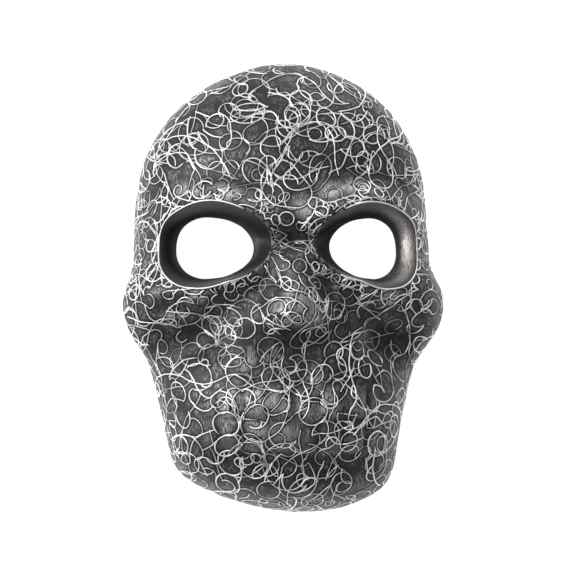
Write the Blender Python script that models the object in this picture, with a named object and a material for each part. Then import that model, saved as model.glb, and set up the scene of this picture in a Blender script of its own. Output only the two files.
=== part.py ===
"""A full-face skull mask, cast as one hollow shell and rested on its back rim.

Everything is in metres. X runs to the wearer's left, Y towards the crown and Z out of the face.
The rim lies in the plane Z = 0, so the mask lies face up on a table.
"""

import bmesh
import bpy
import numpy as np

# Overall form
MASK_HEIGHT = 0.260
CRANIUM_WIDTH = 0.174
FACE_DEPTH = 0.072
WIDEST_LEVEL = 0.028
RIM_TUCK = 0.0035
WALL = 0.003
JAW_DROOP = 0.0055
CROWN_LEAN = 0.0015

# Eye sockets and the openings cut through them
EYE_SPACING = 0.087
EYE_LEVEL = 0.022
SOCKET_WIDTH = 0.0605
SOCKET_DEPTH = 0.011
SOCKET_ROUNDNESS = 1.7
LIP_WIDTH = 0.0010
LIP_HEIGHT = 0.0006
OPENING_WIDTH = 0.0415

# Raised and hollow forms of the face, as heights above the plain dome
BROW_LIFT = 0.0065
GLABELLA_LIFT = 0.004
NASION_DEPTH = 0.004
CHEEKBONE_LIFT = 0.0105
CHEEK_HOLLOW = 0.0095
TEMPLE_HOLLOW = 0.002
MUZZLE_LIFT = 0.006
CHIN_LIFT = 0.005
CHIN_GROOVE = 0.002

# Nose
NOSE_LENGTH = 0.054
NOSE_WIDTH = 0.044
NOSE_LIFT = 0.017
NOSE_TOP = 0.027

# Teeth: two rows that meet at the bite
TOOTH_WIDTH = 0.0138
TOOTH_HEIGHT = 0.018
TOOTH_LIFT = 0.0028
TEETH_A_SIDE = 3
BITE_LEVEL = -0.074

# Outline seen from the front, from chin to crown:
# up as a share of half the height, out as a share of half the cranium's width
OUTLINE = (
    # up, out
    (-1.000, 0.00),
    (-0.990, 0.20),
    (-0.945, 0.47),
    (-0.875, 0.67),
    (-0.800, 0.742),
    (-0.680, 0.778),
    (-0.560, 0.815),
    (-0.415, 0.865),
    (-0.240, 0.930),
    (0.000, 0.992),
    (0.210, 1.000),
    (0.430, 0.977),
    (0.610, 0.895),
    (0.790, 0.715),
    (0.920, 0.450),
    (1.000, 0.00),
)

# How square the dome is from the centre towards the side, the crown and the chin: 2 is an ellipse
SQUARE_SIDE, SQUARE_CROWN, SQUARE_CHIN = 2.3, 2.4, 3.4

# The socket's edge and the opening's edge round the eye's centre: angle in degrees from the outer
# corner over the brow, reach as a share of half the socket's or the opening's width, and how far
# the opening lies behind the socket's edge, as a share of SOCKET_DEPTH
SOCKET_EDGE = (
    # angle, reach
    (0, 0.99),
    (27, 1.01),
    (52, 0.92),
    (88, 0.84),
    (123, 0.84),
    (150, 0.97),
    (172, 1.03),
    (190, 0.96),
    (217, 0.77),
    (248, 0.65),
    (270, 0.69),
    (298, 0.85),
    (317, 0.99),
    (335, 1.04),
)
OPENING_EDGE = (
    # angle, reach, depth
    (0, 0.98, 1.25),
    (33, 0.97, 1.4),
    (60, 0.90, 1.5),
    (95, 0.81, 1.5),
    (127, 0.86, 1.35),
    (150, 0.96, 1.1),
    (175, 1.06, 0.75),
    (195, 1.04, 0.65),
    (213, 0.95, 0.7),
    (235, 0.86, 0.85),
    (270, 0.84, 1.1),
    (295, 0.93, 1.25),
    (318, 1.00, 1.3),
    (340, 1.01, 1.25),
)

# How far the brow and the orbit's edge stand out round the socket, as a share of BROW_LIFT
ORBIT_EDGE = (
    # angle, lift
    (0, 0.35),
    (45, 0.75),
    (90, 1.0),
    (140, 1.0),
    (175, 0.4),
    (215, 0.55),
    (260, 0.9),
    (310, 0.8),
)
ORBIT_CREST, ORBIT_SPREAD = 1.08, 0.28

# The nose down its length: along from root to base, half width and height as shares of its sizes
NOSE_ROWS = (
    # along, half width, lift
    (0.00, 0.42, 0.00),
    (0.20, 0.55, 0.32),
    (0.45, 0.75, 0.66),
    (0.70, 0.97, 1.00),
    (0.84, 1.02, 0.88),
    (0.97, 1.00, 0.34),
    (1.10, 0.95, 0.00),
)

# Mounds and hollows, the same on both sides of the face: height from the plain dome, then place
# and spread out and up as shares of half the cranium's width and half the height, and squareness
FORMS = (
    # height, out, up, spread out, spread up, squareness
    (GLABELLA_LIFT, 0.00, 0.33, 0.16, 0.10, 2),
    (-NASION_DEPTH, 0.00, 0.205, 0.24, 0.055, 2),
    (-CHEEK_HOLLOW, 0.66, -0.235, 0.20, 0.10, 2.6),
    (-0.4 * CHEEK_HOLLOW, 0.50, -0.125, 0.12, 0.055, 2),
    (-TEMPLE_HOLLOW, 0.98, 0.33, 0.22, 0.16, 2),
    (MUZZLE_LIFT, 0.00, -0.57, 0.50, 0.24, 3),
    (CHIN_LIFT, 0.00, -0.87, 0.36, 0.10, 2),
    (-CHIN_GROOVE, 0.00, -0.745, 0.36, 0.05, 2),
)
CHEEKBONE = (CHEEKBONE_LIFT, 0.90, -0.125, 0.20, 0.18, 3.4)

# Grid of the shell: columns across and rows up, closer together over the face
COLUMNS, ROWS = 42, 54
FACE_CROWDING = 0.48

# The dome fills this share of the sheet, and the side wall down to the rim fills the rest
DOME_SHARE = 0.80
EDGE_POINTS = 36


def smooth_rows(where, stations, values):
    """Cubic curve through a table's rows, with each row's slope from its neighbours and level ends."""
    stations, values = np.asarray(stations, float), np.asarray(values, float)
    slopes = np.zeros(len(values))
    slopes[1:-1] = (values[2:] - values[:-2]) / (stations[2:] - stations[:-2])
    where = np.clip(where, stations[0], stations[-1])
    row = np.clip(np.searchsorted(stations, where, side="right") - 1, 0, len(stations) - 2)
    gap = stations[row + 1] - stations[row]
    t = (where - stations[row]) / gap
    start = (1 + 2 * t) * (1 - t) ** 2 * values[row] + t * (1 - t) ** 2 * gap * slopes[row]
    end = t * t * (3 - 2 * t) * values[row + 1] - t * t * (1 - t) * gap * slopes[row + 1]
    return start + end


def round_rows(angle, rows, column=1):
    """The same curve round a closed edge: angle in radians, rows of (degrees, value, ...)."""
    degrees, values = np.array(rows, float)[:, [0, column]].T
    degrees = np.concatenate([degrees[-2:] - 360, degrees, degrees[:3] + 360])
    values = np.concatenate([values[-2:], values, values[:3]])
    return smooth_rows(np.degrees(angle) % 360, degrees, values)


def ease(value, low, high):
    """0 below low, 1 above high, with a smooth step between."""
    t = np.clip((value - low) / (high - low), 0, 1)
    return t * t * (3 - 2 * t)


def outline_reach(slant):
    """Distance from the centre to the outline at an angle above the horizontal, in radians."""
    up, out = np.array(OUTLINE).T
    up, out = up * MASK_HEIGHT / 2, out * CRANIUM_WIDTH / 2
    return smooth_rows(slant, np.arctan2(up, out), np.hypot(up, out))


def dome(disc_x, disc_y):
    """The plain head: a point of the unit disc laid over the dome and down the side wall."""
    share = np.hypot(disc_x, disc_y)
    around = np.arctan2(disc_y, disc_x)
    slant = np.arctan2(disc_y, np.abs(disc_x))
    spread = np.sin(np.minimum(share / DOME_SHARE, 1) * np.pi / 2)
    wall = np.maximum(share - DOME_SHARE, 0) / (1 - DOME_SHARE)
    ends = np.where(disc_y > 0, SQUARE_CROWN, SQUARE_CHIN)
    square = SQUARE_SIDE * np.cos(slant) ** 2 + ends * np.sin(slant) ** 2
    reach = outline_reach(slant) * spread - RIM_TUCK * ease(wall, 0, 1)
    rise = np.sqrt(np.maximum(1 - spread**square, 0))
    height = WIDEST_LEVEL + (FACE_DEPTH - WIDEST_LEVEL) * rise - WIDEST_LEVEL * wall
    return np.stack([reach * np.cos(around), reach * np.sin(around), height], -1)


def disc_of(x, y):
    """The point of the unit disc whose dome point lies at x, y seen from the front."""
    reach = np.hypot(x, y)
    share = np.arcsin(np.clip(reach / outline_reach(np.arctan2(y, np.abs(x))), 0, 1))
    share = share / (np.pi / 2) * DOME_SHARE / np.maximum(reach, 1e-9)
    return x * share, y * share


def round_eye(x, y):
    """Angle and distance from the nearer eye's centre, counted from that eye's outer corner."""
    out, up = np.abs(x) - EYE_SPACING / 2, y - EYE_LEVEL
    return np.arctan2(up, out), np.hypot(out, up)


def mound(x, y, height, out, up, spread_out, spread_up, squareness):
    """A mound of the given height, the same on both sides of the face."""
    across = np.abs(np.abs(x) - out * CRANIUM_WIDTH / 2) / (spread_out * CRANIUM_WIDTH / 2)
    along = np.abs(y - up * MASK_HEIGHT / 2) / (spread_up * MASK_HEIGHT / 2)
    return height * np.exp(-((across**2 + along**2) ** (squareness / 2)))


def orbit(x, y):
    """The brow and the orbit's raised edge round each socket, level where the socket is cut."""
    angle, distance = round_eye(x, y)
    share = distance / (round_rows(angle, SOCKET_EDGE) * SOCKET_WIDTH / 2)
    beyond = np.maximum(share - ORBIT_CREST, 0) / ORBIT_SPREAD
    return BROW_LIFT * round_rows(angle, ORBIT_EDGE) * np.exp(-(beyond**2))


def nose(x, y):
    """The nose: a rounded ridge that widens and rises to its tip and drops to its base."""
    along = (NOSE_TOP - y) / NOSE_LENGTH
    rows = np.array(NOSE_ROWS)
    half = smooth_rows(along, rows[:, 0], rows[:, 1]) * NOSE_WIDTH / 2
    lift = smooth_rows(along, rows[:, 0], rows[:, 2]) * NOSE_LIFT
    return lift * np.exp(-((np.abs(x) / (0.78 * half)) ** 2.6))


def teeth(x, y):
    """Two rows of teeth: a rounded crown for each, and a groove between neighbours and at the bite."""
    across = np.abs(np.sin(np.pi * x / TOOTH_WIDTH)) ** 0.6
    along = np.abs(np.sin(np.pi * (y - BITE_LEVEL) / TOOTH_HEIGHT)) ** 0.5
    inside = 1 - ease(np.abs(y - BITE_LEVEL), 0.97 * TOOTH_HEIGHT, 1.03 * TOOTH_HEIGHT)
    side = TEETH_A_SIDE * TOOTH_WIDTH
    inside = inside * (1 - ease(np.abs(x), 0.95 * side, 1.25 * side))
    return TOOTH_LIFT * across * along * inside


def skull(disc_x, disc_y, tooth_share=1):
    """The mask's surface: the dome with the forms of the face added to it."""
    base = dome(disc_x, disc_y)
    step = 1e-4
    along_x = dome(disc_x + step, disc_y) - dome(disc_x - step, disc_y)
    along_y = dome(disc_x, disc_y + step) - dome(disc_x, disc_y - step)
    normal = np.cross(along_x, along_y)
    normal /= np.linalg.norm(normal, axis=-1, keepdims=True)
    x, y, z = base[..., 0], base[..., 1], base[..., 2]
    side = ease(z, 0.4 * WIDEST_LEVEL, 1.4 * WIDEST_LEVEL)

    outward = sum(mound(x, y, *form) for form in FORMS)
    cheek = mound(x, y, *CHEEKBONE)
    forward = orbit(x, y) + nose(x, y) + tooth_share * teeth(x, y)

    point = base + (outward * side)[..., None] * normal
    point[..., 0] += cheek * side * np.sign(x)
    point[..., 2] += (forward + 0.25 * cheek) * side
    lean = CROWN_LEAN * ease(y, 0.2 * MASK_HEIGHT, 0.45 * MASK_HEIGHT)
    lean -= JAW_DROOP * ease(-y, 0.225 * MASK_HEIGHT, 0.5 * MASK_HEIGHT)
    point[..., 1] += lean * np.sin(np.pi * x / (0.9 * CRANIUM_WIDTH))
    return point


def sheet():
    """The grid's points on the unit disc: a square sheet drawn round, closer together over the face."""
    across, up = np.linspace(-1, 1, COLUMNS + 1), np.linspace(-1, 1, ROWS + 1)
    across = (1 - FACE_CROWDING) * across + FACE_CROWDING * across**3
    up = (1 - 0.5 * FACE_CROWDING) * up + 0.5 * FACE_CROWDING * up**3
    across, up = np.meshgrid(across, up)
    return across * np.sqrt(1 - up**2 / 2), up * np.sqrt(1 - across**2 / 2)


def lining_points(disc_x, disc_y):
    """The shell's inner face: one wall behind the face, plain behind the teeth, level at the rim."""
    step = 0.004
    inside = 1 - 1.01 * step
    disc_x, disc_y = disc_x * inside, disc_y * inside
    along_x = skull(disc_x + step, disc_y, 0) - skull(disc_x - step, disc_y, 0)
    along_y = skull(disc_x, disc_y + step, 0) - skull(disc_x, disc_y - step, 0)
    normal = np.cross(along_x, along_y)
    normal /= np.linalg.norm(normal, axis=-1, keepdims=True)
    point = skull(disc_x / inside, disc_y / inside, 0) - WALL * normal
    point[[0, -1], :, 2] = 0
    point[:, [0, -1], 2] = 0
    return point


def add_solid(name, points, faces):
    """Make a mesh object of triangles from points and faces, turned outwards."""
    data = bpy.data.meshes.new(name)
    data.from_pydata(points, [], faces)
    shape = bmesh.new()
    shape.from_mesh(data)
    bmesh.ops.recalc_face_normals(shape, faces=shape.faces)
    bmesh.ops.triangulate(shape, faces=shape.faces)
    shape.to_mesh(data)
    shape.free()
    solid = bpy.data.objects.new(name, data)
    bpy.context.scene.collection.objects.link(solid)
    return solid


def make_shell():
    """The hollow shell: the face, the same grid one wall behind it, and a flat rim that joins them."""
    disc_x, disc_y = sheet()
    face, lining = skull(disc_x, disc_y), lining_points(disc_x, disc_y)
    number = np.arange(face[..., 0].size).reshape(face.shape[:2])
    front = np.stack([number[:-1, :-1], number[:-1, 1:], number[1:, 1:], number[1:, :-1]], -1)
    front = front.reshape(-1, 4)
    back = front[:, ::-1] + number.size
    edge = np.concatenate([number[0, :-1], number[:-1, -1], number[-1, :0:-1], number[:0:-1, 0]])
    after = np.roll(edge, -1)
    rim = np.stack([after, edge, edge + number.size, after + number.size], -1)
    points = np.concatenate([face.reshape(-1, 3), lining.reshape(-1, 3)])
    return add_solid("skull_shell", points.tolist(), np.concatenate([front, back, rim]).tolist())


def surface_level(x, y):
    """Height of the face at x, y seen from the front, before the sockets are sunk."""
    near_x, near_y = x, y
    for _ in range(4):
        point = skull(*disc_of(near_x, near_y))
        near_x, near_y = near_x + x - point[..., 0], near_y + y - point[..., 1]
    return point[..., 2]


def socket_ring(side, outward, grow, lift):
    """A ring on a socket's wall: outward is 0 at the opening and 1 at the lip; then grown and lifted."""
    angle = np.arange(EDGE_POINTS) * 2 * np.pi / EDGE_POINTS
    opening = round_rows(angle, OPENING_EDGE) * OPENING_WIDTH / 2
    edge = round_rows(angle, SOCKET_EDGE) * SOCKET_WIDTH / 2
    reach = opening + outward * (edge - opening)
    depth = SOCKET_DEPTH * round_rows(angle, OPENING_EDGE, 2) * (1 - outward**SOCKET_ROUNDNESS)
    x, y = EYE_SPACING / 2 + reach * np.cos(angle), EYE_LEVEL + reach * np.sin(angle)
    level = surface_level(side * x, y) - depth + lift
    return np.stack([side * (x + grow * np.cos(angle)), y + grow * np.sin(angle), level], -1)


def loft(name, stacks):
    """One solid for each stack of rings, with a flat face over its first and its last ring."""
    points, faces = np.concatenate([ring for rings in stacks for ring in rings]), []
    ring = np.arange(EDGE_POINTS)
    after = np.roll(ring, -1)
    start = 0
    for rings in stacks:
        end = start + (len(rings) - 1) * EDGE_POINTS
        faces += [(ring + start).tolist(), (ring + end).tolist()]
        for low in range(start, end, EDGE_POINTS):
            high = low + EDGE_POINTS
            faces += np.stack([ring + low, after + low, after + high, ring + high], -1).tolist()
        start = end + EDGE_POINTS
    return add_solid(name, points.tolist(), faces)


def socket_wall(side):
    """Rings of the socket's wall: a funnel with a raised lip, one wall thick, closed in its middle."""
    return [
        socket_ring(side, 1, -LIP_WIDTH, LIP_HEIGHT),
        socket_ring(side, 1, LIP_WIDTH, LIP_HEIGHT),
        socket_ring(side, 1, 1.6 * LIP_WIDTH, -0.5 * WALL),
        socket_ring(side, 1, 1.2 * LIP_WIDTH, -0.85 * WALL),
        socket_ring(side, 0, WALL, -WALL),
        socket_ring(side, 0, -LIP_WIDTH, -WALL),
    ]


def socket_hollow(side):
    """Rings of the socket's hollow and, below it, of the eye opening straight through."""
    return [
        socket_ring(side, 1, 0, 8 * WALL),
        socket_ring(side, 1, 0, 0.1 * WALL),
        socket_ring(side, 0.45, 0, 0),
        socket_ring(side, 0, 0, 0),
        socket_ring(side, 0, 0, -8 * WALL),
    ]


def combine(solid, other, operation):
    """Add the other solid to this one or take it away, and drop the other."""
    step = solid.modifiers.new(other.name, "BOOLEAN")
    step.operation = operation
    step.solver = "EXACT"
    step.object = other
    apply_modifiers(solid)
    bpy.data.objects.remove(other)


def apply_modifiers(solid):
    """Fix the modifiers' result as the object's own mesh."""
    graph = bpy.context.evaluated_depsgraph_get()
    data = bpy.data.meshes.new_from_object(solid.evaluated_get(graph))
    solid.modifiers.clear()
    solid.data = data


for leftover in list(bpy.data.objects):
    bpy.data.objects.remove(leftover)

shell = make_shell()
combine(shell, loft("socket_walls", [socket_wall(1), socket_wall(-1)]), "UNION")
combine(shell, loft("socket_hollows", [socket_hollow(1), socket_hollow(-1)]), "DIFFERENCE")
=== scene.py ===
# %% [markdown]
# A skull mask, cast in one piece and painted
#
# The real object is one hollow casting in resin: a skull's face as thin as a biscuit, open at the
# back and at both eyes. Raised threads run all over it in loops and curves. The paint is nearly
# black, and silver is rubbed over whatever stands out, so the threads shine and the ground between
# them stays dark. This lesson builds the face as a formula, lays the threads on it, and lets the
# materials find out what stands out.

import math

import bpy
import numpy as np
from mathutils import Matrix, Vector
from mathutils.kdtree import KDTree


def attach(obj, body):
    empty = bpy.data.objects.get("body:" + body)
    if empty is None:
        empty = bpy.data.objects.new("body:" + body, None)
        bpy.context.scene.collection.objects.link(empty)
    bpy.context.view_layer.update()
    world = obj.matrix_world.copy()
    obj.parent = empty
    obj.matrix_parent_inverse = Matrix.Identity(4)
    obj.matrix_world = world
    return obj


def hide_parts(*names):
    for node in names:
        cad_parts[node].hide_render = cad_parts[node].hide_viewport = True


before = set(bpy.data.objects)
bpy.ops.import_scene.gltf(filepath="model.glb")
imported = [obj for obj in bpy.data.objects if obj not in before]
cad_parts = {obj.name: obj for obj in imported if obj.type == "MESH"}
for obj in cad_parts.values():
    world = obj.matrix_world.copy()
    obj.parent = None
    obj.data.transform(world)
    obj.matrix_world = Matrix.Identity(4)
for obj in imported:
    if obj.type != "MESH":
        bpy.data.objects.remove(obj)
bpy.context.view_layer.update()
SEED = 27
dice = np.random.default_rng(SEED)

# %% [markdown]
# The camera comes first, because it decides how fine everything else has to be. The mask lies on
# its back rim and the camera looks down on it from one metre, turned a little to one side. At that
# distance one pixel is just over half a millimetre, so a thread is about one and a half pixels
# wide and needs only a few faces round it.

# %% Place the camera
CAMERA_TURN = math.radians(8.5)
CAMERA_DISTANCE = 1.0
PIXELS, METRES_A_PIXEL = 573, 0.000578
VIEW_SIDE = PIXELS * METRES_A_PIXEL
look_at = Vector((0.0006, 0.0, 0.040))
camera_data = bpy.data.cameras.new("camera")
camera = bpy.data.objects.new("camera", camera_data)
camera_data.lens = camera_data.sensor_width * CAMERA_DISTANCE / VIEW_SIDE
camera.location = look_at + CAMERA_DISTANCE * Vector((-math.sin(CAMERA_TURN), 0, math.cos(CAMERA_TURN)))
camera.rotation_euler = (0, -CAMERA_TURN, 0)
bpy.context.scene.collection.objects.link(camera)
bpy.context.scene.camera = camera
print("lens in millimetres:", round(camera_data.lens, 1))

# %% [markdown]
# The face could be sculpted by hand, or worked out from a few sizes. A formula is chosen, because
# the threads need to ask it again and again where the surface is. It starts from a plain dome:
# the outline seen from the front is a short table, and a point of a unit disc is laid over the
# dome inside that outline and then down the side wall to the rim. Sizes are in metres, and x runs
# across the face, y from chin to crown and z out of the face.

# %% Sizes and tables of the plain head
MASK_HEIGHT = 0.260
CRANIUM_WIDTH = 0.174
FACE_DEPTH = 0.072
WIDEST_LEVEL = 0.028
RIM_TUCK = 0.0035
WALL = 0.003
JAW_DROOP = 0.0055
CROWN_LEAN = 0.0015
DOME_SHARE = 0.80
SQUARE_SIDE, SQUARE_CROWN, SQUARE_CHIN = 2.3, 2.4, 3.4
OUTLINE = (
    # up, out
    (-1.000, 0.00),
    (-0.990, 0.20),
    (-0.945, 0.47),
    (-0.875, 0.67),
    (-0.800, 0.742),
    (-0.680, 0.778),
    (-0.560, 0.815),
    (-0.415, 0.865),
    (-0.240, 0.930),
    (0.000, 0.992),
    (0.210, 1.000),
    (0.430, 0.977),
    (0.610, 0.895),
    (0.790, 0.715),
    (0.920, 0.450),
    (1.000, 0.00),
)


def smooth_rows(where, stations, values):
    """Cubic curve through a table's rows: each row's slope comes from its neighbours."""
    stations, values = np.asarray(stations, float), np.asarray(values, float)
    slopes = np.zeros(len(values))
    slopes[1:-1] = (values[2:] - values[:-2]) / (stations[2:] - stations[:-2])
    where = np.clip(where, stations[0], stations[-1])
    row = np.clip(np.searchsorted(stations, where, side="right") - 1, 0, len(stations) - 2)
    gap = stations[row + 1] - stations[row]
    t = (where - stations[row]) / gap
    start = (1 + 2 * t) * (1 - t) ** 2 * values[row] + t * (1 - t) ** 2 * gap * slopes[row]
    end = t * t * (3 - 2 * t) * values[row + 1] - t * t * (1 - t) * gap * slopes[row + 1]
    return start + end


def round_rows(angle, rows, column=1):
    """The same curve round a closed edge: rows of (degrees, value, ...)."""
    degrees, values = np.array(rows, float)[:, [0, column]].T
    degrees = np.concatenate([degrees[-2:] - 360, degrees, degrees[:3] + 360])
    values = np.concatenate([values[-2:], values, values[:3]])
    return smooth_rows(np.degrees(angle) % 360, degrees, values)


def ease(value, low, high):
    """0 below low and 1 above high, with a smooth step between: t * t * (3 - 2t)."""
    t = np.clip((value - low) / (high - low), 0, 1)
    return t * t * (3 - 2 * t)


print("outline rows:", len(OUTLINE))


# %% Lay the disc over the dome
def outline_reach(slant):
    """Distance from the centre to the outline, at an angle above the horizontal."""
    up, out = np.array(OUTLINE).T
    up, out = up * MASK_HEIGHT / 2, out * CRANIUM_WIDTH / 2
    return smooth_rows(slant, np.arctan2(up, out), np.hypot(up, out))


def dome(disc_x, disc_y):
    """Height is (1 - share ** square) ** 0.5 over the dome, then falls evenly down the wall."""
    share = np.hypot(disc_x, disc_y)
    around = np.arctan2(disc_y, disc_x)
    slant = np.arctan2(disc_y, np.abs(disc_x))
    spread = np.sin(np.minimum(share / DOME_SHARE, 1) * np.pi / 2)
    wall = np.maximum(share - DOME_SHARE, 0) / (1 - DOME_SHARE)
    ends = np.where(disc_y > 0, SQUARE_CROWN, SQUARE_CHIN)
    square = SQUARE_SIDE * np.cos(slant) ** 2 + ends * np.sin(slant) ** 2
    reach = outline_reach(slant) * spread - RIM_TUCK * ease(wall, 0, 1)
    rise = np.sqrt(np.maximum(1 - spread**square, 0))
    height = WIDEST_LEVEL + (FACE_DEPTH - WIDEST_LEVEL) * rise - WIDEST_LEVEL * wall
    return np.stack([reach * np.cos(around), reach * np.sin(around), height], -1)


def disc_of(x, y):
    """The point of the disc whose dome point lies at x, y seen from the front."""
    reach = np.hypot(x, y)
    share = np.arcsin(np.clip(reach / outline_reach(np.arctan2(y, np.abs(x))), 0, 1))
    share = share / (np.pi / 2) * DOME_SHARE / np.maximum(reach, 1e-9)
    return x * share, y * share


print("dome's middle in metres:", np.round(dome(np.zeros(1), np.zeros(1))[0], 4))

# %% [markdown]
# On the dome go the forms of a skull: brow and orbits, cheekbones with hollows under them, a filled
# nose, the muzzle with its teeth, and the chin. Each is a mound or a hollow with a place and a
# spread of its own, and the surface is the sum of them. Adding them is easier to adjust than
# sculpting, since one number moves one form.

# %% Sizes and tables of the face
EYE_SPACING = 0.087
EYE_LEVEL = 0.022
SOCKET_WIDTH = 0.0605
SOCKET_DEPTH = 0.011
SOCKET_ROUNDNESS = 1.7
OPENING_WIDTH = 0.0415
SOCKET_EDGE = (
    # angle, reach
    (0, 0.99),
    (27, 1.01),
    (52, 0.92),
    (88, 0.84),
    (123, 0.84),
    (150, 0.97),
    (172, 1.03),
    (190, 0.96),
    (217, 0.77),
    (248, 0.65),
    (270, 0.69),
    (298, 0.85),
    (317, 0.99),
    (335, 1.04),
)
OPENING_EDGE = (
    # angle, reach, depth
    (0, 0.98, 1.25),
    (33, 0.97, 1.4),
    (60, 0.90, 1.5),
    (95, 0.81, 1.5),
    (127, 0.86, 1.35),
    (150, 0.96, 1.1),
    (175, 1.06, 0.75),
    (195, 1.04, 0.65),
    (213, 0.95, 0.7),
    (235, 0.86, 0.85),
    (270, 0.84, 1.1),
    (295, 0.93, 1.25),
    (318, 1.00, 1.3),
    (340, 1.01, 1.25),
)
BROW_LIFT = 0.0065
ORBIT_CREST, ORBIT_SPREAD = 1.08, 0.28
ORBIT_EDGE = (
    # angle, lift
    (0, 0.35),
    (45, 0.75),
    (90, 1.0),
    (140, 1.0),
    (175, 0.4),
    (215, 0.55),
    (260, 0.9),
    (310, 0.8),
)
FORMS = (
    # height, out, up, spread out, spread up, squareness
    (0.004, 0.00, 0.33, 0.16, 0.10, 2),
    (-0.004, 0.00, 0.205, 0.24, 0.055, 2),
    (-0.0095, 0.66, -0.235, 0.20, 0.10, 2.6),
    (-0.0038, 0.50, -0.125, 0.12, 0.055, 2),
    (-0.002, 0.98, 0.33, 0.22, 0.16, 2),
    (0.006, 0.00, -0.57, 0.50, 0.24, 3),
    (0.005, 0.00, -0.87, 0.36, 0.10, 2),
    (-0.002, 0.00, -0.745, 0.36, 0.05, 2),
)
# A row of the same kind, but this one pushes sideways and a little forward.
CHEEKBONE = (0.0105, 0.90, -0.125, 0.20, 0.18, 3.4)
NOSE_TOP, NOSE_LENGTH, NOSE_WIDTH, NOSE_LIFT = 0.027, 0.054, 0.044, 0.017
NOSE_ROWS = (
    # along, half width, lift
    (0.00, 0.42, 0.00),
    (0.20, 0.55, 0.32),
    (0.45, 0.75, 0.66),
    (0.70, 0.97, 1.00),
    (0.84, 1.02, 0.88),
    (0.97, 1.00, 0.34),
    (1.10, 0.95, 0.00),
)
TOOTH_WIDTH, TOOTH_HEIGHT, TOOTH_LIFT = 0.0138, 0.018, 0.0028
TEETH_A_SIDE, BITE_LEVEL = 3, -0.074
print("forms on the face:", len(FORMS) + 1)


# %% Brow, nose and teeth
def round_eye(x, y):
    """Angle and distance from the nearer eye's centre, counted from that eye's outer corner."""
    out, up = np.abs(x) - EYE_SPACING / 2, y - EYE_LEVEL
    return np.arctan2(up, out), np.hypot(out, up)


def socket_share(x, y):
    """Distance from the eye's centre as a share of the way to the socket's edge."""
    angle, distance = round_eye(x, y)
    return distance / (round_rows(angle, SOCKET_EDGE) * SOCKET_WIDTH / 2)


def mound(x, y, height, out, up, spread_out, spread_up, squareness):
    """A mound of the given height, exp(-(distance ** squareness)), on both sides of the face."""
    across = np.abs(np.abs(x) - out * CRANIUM_WIDTH / 2) / (spread_out * CRANIUM_WIDTH / 2)
    along = np.abs(y - up * MASK_HEIGHT / 2) / (spread_up * MASK_HEIGHT / 2)
    return height * np.exp(-((across**2 + along**2) ** (squareness / 2)))


def orbit(x, y):
    """The brow and the orbit's edge: level inside the socket's edge, exp(-(beyond ** 2)) outside."""
    beyond = np.maximum(socket_share(x, y) - ORBIT_CREST, 0) / ORBIT_SPREAD
    return BROW_LIFT * round_rows(round_eye(x, y)[0], ORBIT_EDGE) * np.exp(-(beyond**2))


def nose(x, y):
    """A rounded ridge that widens and rises to its tip and drops to its base."""
    rows = np.array(NOSE_ROWS)
    along = (NOSE_TOP - y) / NOSE_LENGTH
    half = smooth_rows(along, rows[:, 0], rows[:, 1]) * NOSE_WIDTH / 2
    lift = smooth_rows(along, rows[:, 0], rows[:, 2]) * NOSE_LIFT
    return lift * np.exp(-((np.abs(x) / (0.78 * half)) ** 2.6))


def teeth(x, y):
    """Two rows of crowns: |sin| across and along, with grooves where the sine is nought."""
    across = np.abs(np.sin(np.pi * x / TOOTH_WIDTH)) ** 0.6
    along = np.abs(np.sin(np.pi * (y - BITE_LEVEL) / TOOTH_HEIGHT)) ** 0.5
    inside = 1 - ease(np.abs(y - BITE_LEVEL), 0.97 * TOOTH_HEIGHT, 1.03 * TOOTH_HEIGHT)
    side = TEETH_A_SIDE * TOOTH_WIDTH
    inside = inside * (1 - ease(np.abs(x), 0.95 * side, 1.25 * side))
    return TOOTH_LIFT * across * along * inside


print("nose tip stands out by", round(float(nose(np.zeros(1), np.full(1, -0.017))[0]), 4), "m")


# %% The whole face
def face(disc_x, disc_y, tooth_share=1):
    """The dome plus its forms: most go along the dome's normal, the nose and the teeth forward."""
    base = dome(disc_x, disc_y)
    step = 1e-4
    along_x = dome(disc_x + step, disc_y) - dome(disc_x - step, disc_y)
    along_y = dome(disc_x, disc_y + step) - dome(disc_x, disc_y - step)
    normal = np.cross(along_x, along_y)
    normal /= np.linalg.norm(normal, axis=-1, keepdims=True)
    x, y, z = base[..., 0], base[..., 1], base[..., 2]
    side = ease(z, 0.4 * WIDEST_LEVEL, 1.4 * WIDEST_LEVEL)
    outward = sum(mound(x, y, *form) for form in FORMS)
    cheek = mound(x, y, *CHEEKBONE)
    forward = orbit(x, y) + nose(x, y) + tooth_share * teeth(x, y)
    point = base + (outward * side)[..., None] * normal
    point[..., 0] += cheek * side * np.sign(x)
    point[..., 2] += (forward + 0.25 * cheek) * side
    lean = CROWN_LEAN * ease(y, 0.2 * MASK_HEIGHT, 0.45 * MASK_HEIGHT)
    lean -= JAW_DROOP * ease(-y, 0.225 * MASK_HEIGHT, 0.5 * MASK_HEIGHT)
    point[..., 1] += lean * np.sin(np.pi * x / (0.9 * CRANIUM_WIDTH))
    return point


def slopes(disc_x, disc_y, step=0.002, tooth_share=1):
    """How the face moves for a step on the disc, both ways, and its outward normal."""
    along_x = face(disc_x + step, disc_y, tooth_share) - face(disc_x - step, disc_y, tooth_share)
    along_y = face(disc_x, disc_y + step, tooth_share) - face(disc_x, disc_y - step, tooth_share)
    normal = np.cross(along_x, along_y)
    normal /= np.linalg.norm(normal, axis=-1, keepdims=True)
    return along_x / (2 * step), along_y / (2 * step), normal


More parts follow.
